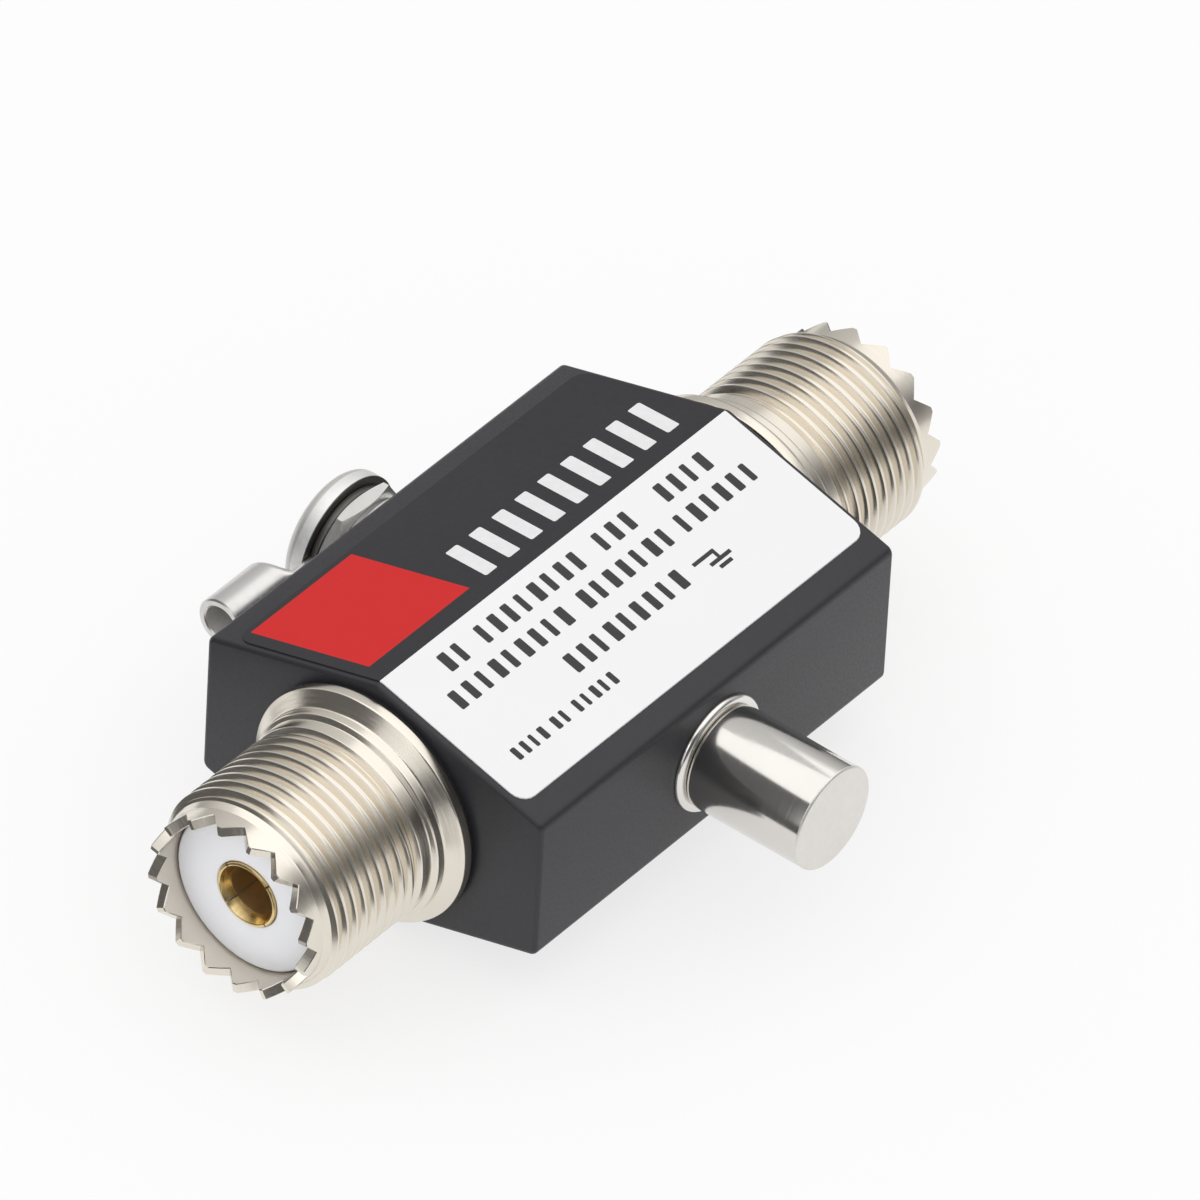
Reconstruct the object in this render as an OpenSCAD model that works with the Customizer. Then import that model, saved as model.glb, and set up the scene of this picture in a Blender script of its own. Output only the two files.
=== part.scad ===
// Coax lightning arrestor with two threaded ports, a screw-in gas tube cap and a ground terminal.
// The origin is the middle of the block, where the coax line and the gas tube axis meet.
// X runs along the coax line, the cap is at -Y, the ground terminal is at +Y, and Z is up.

/* [Block] */
// Length of the block along the coax line
block_l = 39.2; // [34:0.1:60]
// Width of the block from the cap face to the ground face
block_w = 30; // [26:0.1:44]
// Height of the two upright side walls
wall_h = 12; // [10:0.1:20]
// Rise of the top and bottom ridges above the walls
ridge_rise = 4.3; // [2:0.1:8]
// Radius of the long edges
edge_r = 0.7; // [0.5:0.05:1.2]
// Bevel around the two end faces
end_bevel = 0.35; // [0.1:0.05:0.45]
// Bore of the air line through the block
line_bore_d = 9; // [8:0.1:10.5]

/* [Label] */
// Thickness of the label sheet
label_t = 0.12; // [0.08:0.01:0.3]
// Bare strip between the label and each end of the block
label_end_margin = 0.5; // [0.5:0.1:4]
// Bare strip between the label and each side wall, seen from above
label_side_margin = 2.1; // [1:0.1:5]
// Corner radius of the label
label_corner_r = 1.2; // [0.4:0.1:3]

/* [Ports] */
// Outside diameter of the port thread
thread_d = 15.875; // [15.2:0.005:17]
// Length of the threaded stretch
thread_l = 10.6; // [7:0.1:14]
// Pitch of the port thread, which is drawn as rings
thread_pitch = 1.058; // [0.9:0.001:2]
// Width of the flat crest of each ring
thread_crest = 0.55; // [0.3:0.05:0.65]
// Diameter of the thread's root and of its undercut next to the collar
undercut_d = 14.8; // [13.8:0.1:15.1]
// Length of the thread's undercut
undercut_l = 0.5; // [0.2:0.1:1]
// Diameter of the flange that seats on the block
flange_d = 18.8; // [17.4:0.1:20]
// Thickness of the flange
flange_t = 1.4; // [0.8:0.1:3]
// Bevel on the flange's front edge
flange_bevel = 0.25; // [0.1:0.05:0.4]
// Thickness of the sealing gasket behind the flange
gasket_t = 0.4; // [0.2:0.1:1]
// How far the gasket's edge stays inside the flange's edge
gasket_inset = 0.3; // [0.1:0.1:0.8]
// Diameter of the plain collar in front of the flange
collar_d = 16.6; // [15.9:0.1:17.2]
// Length of the plain collar
collar_l = 1; // [0.5:0.1:2.5]
// Bore of the shell around the insulator
shell_bore_d = 12.7; // [11.5:0.1:12.9]
// Outside diameter of the toothed rim
rim_d = 14.3; // [13.9:0.1:15.1]
// Length of the cone between the thread and the rim
rim_cone_l = 0.5; // [0.2:0.1:1]
// Length of the rim below the teeth
rim_l = 0.7; // [0.4:0.1:2.4]
// Height of the pointed teeth
tooth_h = 1.1; // [0.6:0.1:1.6]
// Number of teeth
tooth_count = 16; // [8:1:20]
// Width of the V notch between the tips of two teeth
notch_w = 2.3; // [1.2:0.1:2.4]
// Turn of port A's ring of teeth about its axis, in degrees
tooth_turn_a = -3; // [-12:0.5:12]
// Turn of port B's ring of teeth about its axis, in degrees
tooth_turn_b = 3; // [-12:0.5:12]
// Wall of the spigot that goes into the block
spigot_wall = 0.8; // [0.5:0.1:1.2]
// Length of the spigot inside the block
spigot_l = 6; // [4:0.1:8]
// Thickness of the lip that the insulator rests on
lip_t = 2; // [1:0.1:3]

/* [Insulators and contacts] */
// Depth of the insulator's face below the tips of the teeth
insulator_recess = 2.2; // [1:0.1:3]
// How far the socket stands out of the insulator
socket_proud = 0.15; // [0:0.05:0.5]
// Outside diameter of the socket
socket_d = 5.2; // [4.8:0.1:6]
// Bore of the socket
socket_bore_d = 4; // [3.6:0.05:4.2]
// Depth of the socket's bore
socket_depth = 9; // [7:0.1:11]
// Bevel at the mouth of the socket
socket_bevel = 0.25; // [0.1:0.05:0.4]
// Thickness of the socket's closed end
socket_end_t = 1.2; // [0.6:0.1:2]
// Width of the four slits in the socket
slit_w = 0.4; // [0.2:0.05:0.6]
// Length of the four slits
slit_l = 7; // [4:0.1:8]
// Diameter of the stem behind the socket
stem_d = 2.5; // [1.8:0.1:3]

/* [Line conductor] */
// Diameter of the line conductor
conductor_d = 3.9; // [3.6:0.1:4.6]
// Diameter of the seat in the conductor's middle
seat_d = 5.2; // [4.8:0.1:6]
// Length of the seat
seat_l = 6.5; // [5:0.1:10]
// Distance from the line's axis to the flat that the gas tube stands on
seat_flat = 2; // [1.6:0.05:2.2]
// Depth of the stem holes in the conductor's ends
stem_hole_l = 5; // [3:0.1:7]
// Space between a stem's tip and the bottom of its hole
stem_tip_gap = 0.4; // [0.2:0.1:1]

/* [Gas tube] */
// Diameter of the gas tube
tube_d = 5; // [4:0.1:5.6]
// Length of the gas tube
tube_l = 5.5; // [4.5:0.1:7]
// Thickness of each electrode's disc
electrode_t = 0.9; // [0.5:0.1:1.2]
// Diameter of each electrode's inner button
button_d = 2; // [1.2:0.1:2.2]
// Wall of the ceramic ring
ceramic_wall = 0.8; // [0.5:0.05:0.85]
// Gap between the two buttons
spark_gap = 0.6; // [0.3:0.05:1]
// Length of the spring behind the gas tube
spring_l = 4.5; // [3:0.1:6]
// Wire diameter of the spring
spring_wire_d = 0.45; // [0.3:0.05:0.5]
// Number of turns of the spring
spring_turns = 4.5; // [3:0.5:5]

/* [Gas tube cap] */
// Outside diameter of the cap
cap_d = 8.1; // [7.6:0.1:9]
// Length of the cap outside its washer
cap_l = 10; // [7:0.1:14]
// Radius of the cap's inner edge
cap_base_r = 0.35; // [0.15:0.05:0.5]
// Bevel of the cap's outer edge
cap_bevel = 0.15; // [0.05:0.05:0.5]
// Thread diameter of the cap's neck
cap_thread_d = 7; // [6.7:0.1:7.3]
// Space between the neck's end and the line bore
neck_end_gap = 0.7; // [0.3:0.1:2]
// Outside diameter of the cap's washer
cap_washer_d = 9.2; // [8.6:0.1:10.6]
// Thickness of the cap's washer
cap_washer_t = 0.5; // [0.4:0.1:1.5]
// Bevel of the washer's outer edge, on the side of the cap
cap_washer_bevel = 0.3; // [0.1:0.05:0.35]

/* [Ground terminal] */
// Diameter of the ground screw
screw_d = 5; // [4:0.1:5.4]
// Diameter of the screw's head
screw_head_d = 10.4; // [8.4:0.1:12]
// Height of the upright rim of the head
head_rim_t = 1; // [0.4:0.1:1.5]
// Height of the dome above the head's rim
head_dome_h = 1.2; // [1:0.1:2.5]
// Diameter of the flat top of the head
head_top_d = 6; // [3:0.1:7]
// Length of each arm pair of the cross recess
recess_l = 4.2; // [3:0.1:5]
// Width of the cross recess
recess_w = 1; // [0.6:0.1:1.4]
// Depth of the cross recess
recess_depth = 1.3; // [0.8:0.1:1.8]
// Space left below the screw's tip
screw_tip_gap = 0.7; // [0.4:0.1:2]
// Metal between the screw hole and the line bore
ground_web = 2; // [1.5:0.1:4]
// Outside diameter of the flat washer
flat_washer_d = 10; // [8.4:0.1:12]
// Thickness of the flat washer
flat_washer_t = 0.7; // [0.5:0.1:1.5]
// Outside diameter of the lock washer
lock_washer_d = 8.8; // [7.6:0.1:10]
// Thickness of the lock washer
lock_washer_t = 0.7; // [0.6:0.1:1.6]
// Width of the slit in the lock washer
lock_slit_w = 0.6; // [0.3:0.1:1]
// Size of the nut across its flats
nut_af = 9; // [7.4:0.1:10]
// Thickness of the nut
nut_t = 1.2; // [1:0.1:4]

/* [Ring lug] */
// Outside diameter of the lug's ring
lug_ring_d = 9.2; // [8:0.1:12]
// Thickness of the lug's sheet
lug_t = 0.6; // [0.5:0.1:1.2]
// Width of the tongue between the ring and the barrel
tongue_w = 3.2; // [2.4:0.1:4.4]
// Length of the tongue outside the ring and the screw's head
tongue_l = 1; // [0.3:0.1:4]
// Length of the flare from the tongue to the barrel
flare_l = 1.2; // [0.8:0.1:3]
// Outside diameter of the crimp barrel
barrel_d = 3.9; // [3:0.1:5]
// Wall of the crimp barrel
barrel_wall = 0.6; // [0.4:0.05:0.8]
// Length of the crimp barrel
barrel_l = 5.2; // [4:0.1:12]
// How far the barrel's axis lies outside the middle of the tongue
barrel_rise = 1.5; // [0:0.1:2]

/* [Fits] */
// Radial clearance of threads and turned fits
fit_gap = 0.05; // [0.03:0.01:0.1]
// Radial clearance of washers, lug and gas tube
loose_gap = 0.1; // [0.06:0.01:0.15]

/* [Hidden] */

$fn = 64;
hull_fn = 32;
overcut = 1;
hex_corner = cos(30);

black_paint = "#3b3a3e";
white_vinyl = "#f4f2f2";
black_rubber = "#1c1c1e";
nickel = "#b9b1a4";
white_ptfe = "#e6e8ee";
gold = "#c9a45a";
white_ceramic = "#ece9e2";
spring_steel = "#a6a7aa";
zinc = "#c4c2bf";

// The block's section: two upright walls under and over low ridges
ridge_z = wall_h / 2 + ridge_rise;
slope = ridge_rise / (block_w / 2);
edge_drop = edge_r * sqrt(1 + slope * slope);
edge_ridge_z = ridge_z - edge_drop;
edge_wall_y = block_w / 2 - edge_r;
edge_wall_z = edge_ridge_z - slope * edge_wall_y;

// Places along a port, measured outwards from the block's end face
flange_s = gasket_t;
collar_s = flange_s + flange_t;
thread_s = collar_s + collar_l;
cone_s = thread_s + thread_l;
rim_s = cone_s + rim_cone_l;
notch_s = rim_s + rim_l;
port_reach = notch_s + tooth_h;
lip_s = lip_t - spigot_l;
insulator_s = port_reach - insulator_recess;
socket_s = insulator_s + socket_proud;
socket_end_s = socket_s - socket_depth - socket_end_t;
stem_tip_s = lip_s - stem_hole_l + stem_tip_gap;
spigot_d = shell_bore_d + 2 * spigot_wall;

// Half the conductor's length: it meets the back of each insulator
conductor_half_l = block_l / 2 + lip_s;

// Places along the gas tube, measured outwards from the coax line
tube_top = seat_flat + tube_l;
spring_top = tube_top + spring_l;
neck_end = line_bore_d / 2 + neck_end_gap;
cap_seat = block_w / 2 + cap_washer_t;
ceramic_l = tube_l - 2 * electrode_t;
button_l = (ceramic_l - spark_gap) / 2;
cap_bore_d = tube_d + 2 * loose_gap;

// Places along the ground screw, measured outwards from the coax line
lock_seat = block_w / 2 + flat_washer_t;
nut_seat = lock_seat + lock_washer_t;
lug_seat = nut_seat + nut_t;
head_seat = lug_seat + lug_t;
ground_hole_end = line_bore_d / 2 + ground_web;
screw_tip = ground_hole_end + screw_tip_gap;
barrel_axis = lug_seat + lug_t / 2 + barrel_rise;
flare_x = max(lug_ring_d, screw_head_d) / 2 + tongue_l;
barrel_x = flare_x + flare_l;

port_a = 180;
port_b = 0;

// Points of an arc in a profile
function arc(center, r, from, to, steps = 6) =
    [for (i = [0:steps])
        let (angle = from + (to - from) * i / steps)
        center + r * [cos(angle), sin(angle)]];

// Stands a part on the end face that looks along the given heading, with Z outwards
module at_port(heading) {
    rotate([0, 0, heading])
        translate([block_l / 2, 0, 0])
            rotate([0, 90, 0])
                children();
}

// Turns Z towards the cap
module towards_cap() {
    rotate([90, 0, 0])
        children();
}

// Turns Z towards the ground terminal, with X kept
module towards_ground() {
    rotate([-90, 0, 0])
        children();
}

module ring(outer_d, inner_d, h) {
    difference() {
        cylinder(d = outer_d, h = h);
        translate([0, 0, -overcut])
            cylinder(d = inner_d, h = h + 2 * overcut);
    }
}

// One long edge of the block, with its bevelled ends
module long_edge(grow) {
    rotate([0, 90, 0]) {
        cylinder(r = edge_r + grow, h = block_l - 2 * end_bevel, center = true, $fn = hull_fn);
        cylinder(r = edge_r + grow - end_bevel, h = block_l, center = true, $fn = hull_fn);
    }
}

// The block without its bores, grown outwards by a skin
module block(grow = 0) {
    hull()
        for (up = [-1, 1]) {
            translate([0, 0, up * edge_ridge_z])
                long_edge(grow);
            for (side = [-1, 1])
                translate([0, side * edge_wall_y, up * edge_wall_z])
                    long_edge(grow);
        }
}

module body() {
    color(black_paint)
        difference() {
            block();
            rotate([0, 90, 0])
                cylinder(d = line_bore_d, h = block_l + 2 * overcut, center = true);
            for (heading = [port_a, port_b])
                at_port(heading)
                    translate([0, 0, -spigot_l])
                        cylinder(d = spigot_d + 2 * fit_gap, h = spigot_l + overcut);
            towards_cap()
                cylinder(d = cap_thread_d + 2 * fit_gap, h = block_w / 2 + overcut);
            towards_ground()
                translate([0, 0, ground_hole_end])
                    cylinder(d = screw_d + 2 * fit_gap, h = block_w / 2 - ground_hole_end + overcut);
        }
}

// The label's outline from above
module label_outline() {
    half_l = block_l / 2 - label_end_margin;
    half_w = block_w / 2 - label_side_margin;
    square([2 * half_l, 2 * (half_w - label_corner_r)], center = true);
    square([2 * (half_l - label_corner_r), 2 * half_w], center = true);
    for (x = [-1, 1], y = [-1, 1])
        translate([x * (half_l - label_corner_r), y * (half_w - label_corner_r)])
            circle(r = label_corner_r);
}

// One sheet folded over the top ridge
module label() {
    color(white_vinyl)
        intersection() {
            difference() {
                block(label_t);
                block();
            }
            linear_extrude(height = ridge_z + overcut)
                label_outline();
        }
}

module port_gasket(heading) {
    color(black_rubber)
        at_port(heading)
            ring(flange_d - 2 * gasket_inset, spigot_d + 2 * fit_gap, gasket_t);
}

// Outside of the shell, turned about the coax line
module shell_profile() {
    polygon(concat(
        [
            [0, -spigot_l],
            [spigot_d / 2, -spigot_l],
            [spigot_d / 2, flange_s],
            [flange_d / 2, flange_s],
            [flange_d / 2, collar_s - flange_bevel],
            [flange_d / 2 - flange_bevel, collar_s],
            [collar_d / 2, collar_s],
            [collar_d / 2, thread_s],
            [undercut_d / 2, thread_s],
        ],
        thread_points(thread_s + undercut_l, cone_s),
        [
            [undercut_d / 2, cone_s],
            [rim_d / 2, rim_s],
            [rim_d / 2, port_reach],
            [0, port_reach],
        ]
    ));
}

// The thread as a whole number of rings, each with two flanks and a flat crest
function thread_points(from, to) =
    let (
        turns = round((to - from) / thread_pitch),
        pitch = (to - from) / turns,
        flank = (pitch - thread_crest) / 2
    )
    [for (i = [0:turns - 1])
        let (s = from + i * pitch)
        each [
            [undercut_d / 2, s],
            [thread_d / 2, s + flank],
            [thread_d / 2, s + flank + thread_crest],
        ]];

module port_shell(heading, tooth_turn) {
    color(nickel)
        at_port(heading)
            difference() {
                rotate_extrude()
                    shell_profile();
                translate([0, 0, lip_s])
                    cylinder(d = shell_bore_d, h = port_reach - lip_s + overcut);
                translate([0, 0, -spigot_l - overcut])
                    cylinder(d = line_bore_d, h = lip_t + 2 * overcut);
                for (tooth = [0:tooth_count - 1])
                    rotate([0, 0, 360 * tooth / tooth_count + tooth_turn])
                        translate([0, 0, notch_s])
                            notch();
            }
}

// A V that runs outwards along X, with its point at the origin and its walls carried past the tips
module notch() {
    past_tips = (tooth_h + overcut) / tooth_h;
    rotate([90, 0, 90])
        linear_extrude(height = rim_d)
            polygon(past_tips * [[0, 0], [notch_w / 2, tooth_h], [-notch_w / 2, tooth_h]]);
}

module port_insulator(heading) {
    color(white_ptfe)
        at_port(heading)
            difference() {
                translate([0, 0, lip_s])
                    cylinder(d = shell_bore_d - 2 * fit_gap, h = insulator_s - lip_s);
                translate([0, 0, socket_end_s])
                    cylinder(d = socket_d + 2 * fit_gap, h = socket_s - socket_end_s + overcut);
                translate([0, 0, lip_s - overcut])
                    cylinder(d = stem_d + 2 * fit_gap, h = socket_end_s - lip_s + 2 * overcut);
            }
}

module port_contact(heading) {
    color(gold)
        at_port(heading)
            difference() {
                union() {
                    translate([0, 0, socket_end_s])
                        cylinder(d = socket_d, h = socket_s - socket_end_s);
                    translate([0, 0, stem_tip_s])
                        cylinder(d = stem_d, h = socket_end_s - stem_tip_s + overcut / 2);
                }
                translate([0, 0, socket_s - socket_depth])
                    cylinder(d = socket_bore_d, h = socket_depth + overcut);
                translate([0, 0, socket_s - socket_bevel])
                    cylinder(d1 = socket_bore_d, d2 = socket_bore_d + 4 * socket_bevel, h = 2 * socket_bevel);
                for (turn = [45, 135])
                    rotate([0, 0, turn])
                        translate([-socket_d, -slit_w / 2, socket_s - slit_l])
                            cube([2 * socket_d, slit_w, slit_l + overcut]);
            }
}

module center_conductor() {
    color(gold)
        difference() {
            rotate([0, 90, 0]) {
                cylinder(d = conductor_d, h = 2 * conductor_half_l, center = true);
                cylinder(d = seat_d, h = seat_l, center = true);
            }
            towards_cap()
                translate([-block_l / 2, -seat_d, seat_flat])
                    cube([block_l, 2 * seat_d, seat_d]);
            for (heading = [port_a, port_b])
                at_port(heading)
                    translate([0, 0, lip_s - stem_hole_l])
                        cylinder(d = stem_d + 2 * fit_gap, h = stem_hole_l + overcut);
        }
}

// A disc with the button that faces the other electrode across the gap
module electrode() {
    cylinder(d = tube_d, h = electrode_t);
    cylinder(d = button_d, h = electrode_t + button_l);
}

module gas_tube_inner_electrode() {
    color(nickel)
        towards_cap()
            translate([0, 0, seat_flat])
                electrode();
}

module gas_tube_ceramic() {
    color(white_ceramic)
        towards_cap()
            translate([0, 0, seat_flat + electrode_t])
                ring(tube_d, tube_d - 2 * ceramic_wall, ceramic_l);
}

module gas_tube_outer_electrode() {
    color(nickel)
        towards_cap()
            translate([0, 0, tube_top])
                mirror([0, 0, 1])
                    electrode();
}

// A round wire wound into a helix, as rings of points joined by side faces
module coil(mean_r, wire_r, h, turns, steps_per_turn = 14, sides = 8) {
    steps = floor(turns * steps_per_turn);
    points = [
        for (i = [0:steps], j = [0:sides - 1])
            let (
                turn = 360 * i / steps_per_turn,
                around = 360 * j / sides,
                reach = mean_r + wire_r * cos(around)
            )
            [reach * cos(turn), reach * sin(turn), wire_r + (h - 2 * wire_r) * i / steps + wire_r * sin(around)]
    ];
    walls = [
        for (i = [0:steps - 1], j = [0:sides - 1])
            let (next = (j + 1) % sides)
            [i * sides + j, i * sides + next, (i + 1) * sides + next, (i + 1) * sides + j]
    ];
    first_end = [for (j = [0:sides - 1]) sides - 1 - j];
    last_end = [for (j = [0:sides - 1]) steps * sides + j];
    polyhedron(points = points, faces = concat(walls, [first_end, last_end]));
}

module contact_spring() {
    color(spring_steel)
        towards_cap()
            translate([0, 0, tube_top + fit_gap])
                coil(
                    mean_r = (tube_d - spring_wire_d) / 2 - loose_gap,
                    wire_r = spring_wire_d / 2,
                    h = spring_l - 2 * fit_gap,
                    turns = spring_turns
                );
}

// Head and neck of the cap, turned about the gas tube axis
module cap_profile() {
    cap_end = cap_seat + cap_l;
    base_center = [cap_d / 2 - cap_base_r, cap_seat + cap_base_r];
    polygon(concat(
        [[0, neck_end], [cap_thread_d / 2, neck_end], [cap_thread_d / 2, cap_seat]],
        arc(base_center, cap_base_r, -90, 0),
        [
            [cap_d / 2, cap_end - cap_bevel],
            [cap_d / 2 - cap_bevel, cap_end],
            [0, cap_end],
        ]
    ));
}

module gas_tube_cap() {
    color(nickel)
        towards_cap()
            difference() {
                rotate_extrude()
                    cap_profile();
                translate([0, 0, neck_end - overcut])
                    cylinder(d = cap_bore_d, h = spring_top - neck_end + overcut);
            }
}

module cap_washer() {
    bore_r = cap_thread_d / 2 + loose_gap;
    color(zinc)
        towards_cap()
            translate([0, 0, block_w / 2])
                rotate_extrude()
                    polygon([
                        [bore_r, 0],
                        [cap_washer_d / 2, 0],
                        [cap_washer_d / 2, cap_washer_t - cap_washer_bevel],
                        [cap_washer_d / 2 - cap_washer_bevel, cap_washer_t],
                        [bore_r, cap_washer_t],
                    ]);
}

module ground_flat_washer() {
    color(zinc)
        towards_ground()
            translate([0, 0, block_w / 2])
                ring(flat_washer_d, screw_d + 2 * loose_gap, flat_washer_t);
}

// A split ring, pressed flat by the nut
module ground_lock_washer() {
    color(spring_steel)
        towards_ground()
            translate([0, 0, lock_seat])
                difference() {
                    ring(lock_washer_d, screw_d + 2 * loose_gap, lock_washer_t);
                    translate([0, -lock_slit_w / 2, -overcut])
                        cube([lock_washer_d, lock_slit_w, lock_washer_t + 2 * overcut]);
                }
}

// Rounds off the corners of the nut at both faces
module nut_envelope(corner_r) {
    bevel = corner_r - nut_af / 2;
    rotate_extrude()
        polygon([
            [0, 0],
            [nut_af / 2, 0],
            [corner_r, bevel / 2],
            [corner_r, nut_t - bevel / 2],
            [nut_af / 2, nut_t],
            [0, nut_t],
        ]);
}

module ground_nut() {
    corner_r = nut_af / 2 / hex_corner;
    color(zinc)
        towards_ground()
            translate([0, 0, nut_seat])
                difference() {
                    intersection() {
                        cylinder(r = corner_r, h = nut_t, $fn = 6);
                        nut_envelope(corner_r);
                    }
                    translate([0, 0, -overcut])
                        cylinder(d = screw_d + 2 * fit_gap, h = nut_t + 2 * overcut);
                }
}

module ground_screw() {
    dome_seat = head_seat + head_rim_t;
    head_top = dome_seat + head_dome_h;
    color(zinc)
        towards_ground()
            difference() {
                rotate_extrude()
                    polygon(concat(
                        [
                            [0, screw_tip],
                            [screw_d / 2 - screw_tip_gap, screw_tip],
                            [screw_d / 2, screw_tip + screw_tip_gap],
                            [screw_d / 2, head_seat],
                            [screw_head_d / 2, head_seat],
                        ],
                        dome_points(dome_seat),
                        [[0, head_top]]
                    ));
                for (turn = [0, 90])
                    rotate([0, 0, turn])
                        translate([-recess_l / 2, -recess_w / 2, head_top - recess_depth])
                            cube([recess_l, recess_w, recess_depth + overcut]);
            }
}

// A quarter of an ellipse from the head's rim to its flat top
function dome_points(dome_seat, steps = 8) =
    let (reach = (screw_head_d - head_top_d) / 2)
    [for (i = [0:steps])
        let (angle = 90 * i / steps)
        [head_top_d / 2 + reach * cos(angle), dome_seat + head_dome_h * sin(angle)]];

// A flat ring whose tongue flares into a crimp barrel that points to port A
module ground_lug() {
    color(zinc)
        towards_ground()
            difference() {
                union() {
                    translate([0, 0, lug_seat])
                        cylinder(d = lug_ring_d, h = lug_t);
                    translate([-flare_x, -tongue_w / 2, lug_seat])
                        cube([flare_x, tongue_w, lug_t]);
                    lug_flare();
                    translate([-barrel_x, 0, barrel_axis])
                        rotate([0, -90, 0])
                            cylinder(d = barrel_d, h = barrel_l);
                }
                translate([0, 0, lug_seat - overcut])
                    cylinder(d = screw_d + 2 * loose_gap, h = lug_t + 2 * overcut);
                translate([-barrel_x, 0, barrel_axis])
                    rotate([0, -90, 0])
                        cylinder(d = barrel_d - 2 * barrel_wall, h = barrel_l + overcut);
            }
}

// The stretch where the flat tongue opens out into the round barrel
module lug_flare() {
    end_t = 0.1;
    hull() {
        translate([-flare_x, -tongue_w / 2, lug_seat])
            cube([end_t, tongue_w, lug_t]);
        translate([-barrel_x, 0, barrel_axis])
            rotate([0, -90, 0])
                cylinder(d = barrel_d, h = end_t, $fn = hull_fn);
    }
}

body();
label();
port_gasket(port_a);  // port_a_gasket
port_gasket(port_b);  // port_b_gasket
port_shell(port_a, tooth_turn_a);  // port_a_shell
port_shell(port_b, tooth_turn_b);  // port_b_shell
port_insulator(port_a);  // port_a_insulator
port_insulator(port_b);  // port_b_insulator
port_contact(port_a);  // port_a_contact
port_contact(port_b);  // port_b_contact
center_conductor();
gas_tube_inner_electrode();
gas_tube_ceramic();
gas_tube_outer_electrode();
contact_spring();
gas_tube_cap();
cap_washer();
ground_flat_washer();
ground_lock_washer();
ground_nut();
ground_lug();
ground_screw();
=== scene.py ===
import math

import bmesh
import bpy
import numpy as np
from mathutils import Matrix, Vector


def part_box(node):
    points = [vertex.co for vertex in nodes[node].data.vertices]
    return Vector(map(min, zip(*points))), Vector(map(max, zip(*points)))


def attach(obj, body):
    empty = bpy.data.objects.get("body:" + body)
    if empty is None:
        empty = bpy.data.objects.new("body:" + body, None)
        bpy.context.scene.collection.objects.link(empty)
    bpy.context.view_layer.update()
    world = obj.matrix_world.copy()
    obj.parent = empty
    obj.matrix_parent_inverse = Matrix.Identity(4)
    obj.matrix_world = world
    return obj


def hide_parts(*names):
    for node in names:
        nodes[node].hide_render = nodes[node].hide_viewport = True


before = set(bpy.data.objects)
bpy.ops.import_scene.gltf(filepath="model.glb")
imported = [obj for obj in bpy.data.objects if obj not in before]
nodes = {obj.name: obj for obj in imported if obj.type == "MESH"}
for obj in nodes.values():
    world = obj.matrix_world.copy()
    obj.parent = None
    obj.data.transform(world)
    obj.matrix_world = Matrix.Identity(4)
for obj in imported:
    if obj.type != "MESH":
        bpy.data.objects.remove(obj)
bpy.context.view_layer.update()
scene = bpy.context.scene
scene.view_settings.view_transform = "Standard"

MM = 0.001


# Camera, as fitted to the block's corners in the photograph
CAMERA_TURN = math.radians(-53.29)
CAMERA_HEIGHT = math.radians(41.33)
CAMERA_ROLL = math.radians(3.31)
CAMERA_DISTANCE = 1.63
PIXELS_PER_MM = 14.3
IMAGE_PIXELS = 1200
SENSOR_MM = 36
AIM_RIGHT = 3.61 * MM
AIM_UP = 3.98 * MM


def make_camera():
    """Looks down on port A and the cap, with the block's centre a little left of and below the middle."""
    back = Vector((
        math.sin(CAMERA_TURN) * math.cos(CAMERA_HEIGHT),
        -math.cos(CAMERA_TURN) * math.cos(CAMERA_HEIGHT),
        math.sin(CAMERA_HEIGHT),
    ))
    level = Vector((math.cos(CAMERA_TURN), math.sin(CAMERA_TURN), 0))
    upright = back.cross(level)
    right = math.cos(CAMERA_ROLL) * level + math.sin(CAMERA_ROLL) * upright
    up = math.cos(CAMERA_ROLL) * upright - math.sin(CAMERA_ROLL) * level
    place = Matrix((right, up, back)).transposed().to_4x4()
    place.translation = right * AIM_RIGHT + up * AIM_UP + back * CAMERA_DISTANCE
    data = bpy.data.cameras.new("camera")
    data.sensor_width = SENSOR_MM
    data.lens = PIXELS_PER_MM / MM * CAMERA_DISTANCE / IMAGE_PIXELS * SENSOR_MM
    camera = bpy.data.objects.new("camera", data)
    camera.matrix_world = place
    scene.collection.objects.link(camera)
    scene.camera = camera


make_camera()


# Sizes in millimetres, read from the frame
def box_mm(node):
    """Lowest and highest corner of a CAD node, in millimetres."""
    low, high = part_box(node)
    return low / MM, high / MM


BLOCK = box_mm("body")[1]
LABEL = box_mm("label")[1]
SHELL = box_mm("port_b_shell")
INSULATOR = box_mm("port_b_insulator")
CONTACT = box_mm("port_b_contact")
CAP = box_mm("gas_tube_cap")
CAP_WASHER = box_mm("cap_washer")
FLAT_WASHER = box_mm("ground_flat_washer")
LOCK_WASHER = box_mm("ground_lock_washer")
NUT = box_mm("ground_nut")
LUG = box_mm("ground_lug")
SCREW = box_mm("ground_screw")

# Sizes in millimetres that the boxes don't show
WALL_HALF_H = 6
RIDGE_RISE = 4.3
EDGE_R = 0.7
END_BEVEL = 0.35
LABEL_T = 0.12
LABEL_CORNER_R = 1.2
LINE_BORE_R = 4.5
SPIGOT_GAP = 0.05
SPIGOT_R = 7.15
FLANGE_S = 0.4
FLANGE_T = 1.4
FLANGE_CONE_BACK = 0.55
FLANGE_CONE_FRONT = 0.25
COLLAR_R = 8.3
COLLAR_T = 1
THREAD_R = 7.9375
THREAD_DEPTH = 0.55
THREAD_L = 10.6
THREAD_TURNS = 9
UNDERCUT_L = 0.5
BAND_DROP = 0.04
BAND_LEAD = 0.2
BAND_FALL = 0.3
CONE_L = 0.5
RIM_R = 7.15
TOOTH_H = 1.1
TOOTH_COUNT = 16
TOOTH_TURN = {"a": math.radians(-3), "b": math.radians(3)}
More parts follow.
